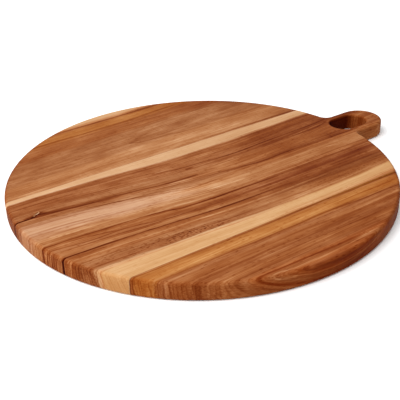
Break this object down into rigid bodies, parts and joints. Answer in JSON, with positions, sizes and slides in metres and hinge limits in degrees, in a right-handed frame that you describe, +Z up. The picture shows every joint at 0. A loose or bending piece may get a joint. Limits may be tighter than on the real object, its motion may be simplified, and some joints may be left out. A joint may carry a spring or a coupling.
{
  "type": "cutting board",
  "caption": "Round wooden cutting board of edge-glued planks, with a short loop handle and a finger slot to carry or hang it.",
  "frame": {"origin": "centre of the round on the underside", "axes": "+X along the grain towards the handle, +Y across the grain towards the back plank, +Z up through the cutting face"},
  "size_m": [0.3985, 0.35, 0.016],
  "materials": {
    "back_wood": "oiled satin hardwood, light orange-brown plank",
    "middle_wood": "oiled satin hardwood, red-brown heartwood with pale sapwood along both edges",
    "front_wood": "oiled satin hardwood, golden to red-brown plank",
    "glue": "dark hairline of cured wood glue, sanded flush"
  },
  "bodies": {
    "root": {"plank_back": "back_wood", "plank_middle": "middle_wood", "plank_front": "front_wood", "glue_line_back": "glue", "glue_line_front": "glue"}
  },
  "joints": []
}
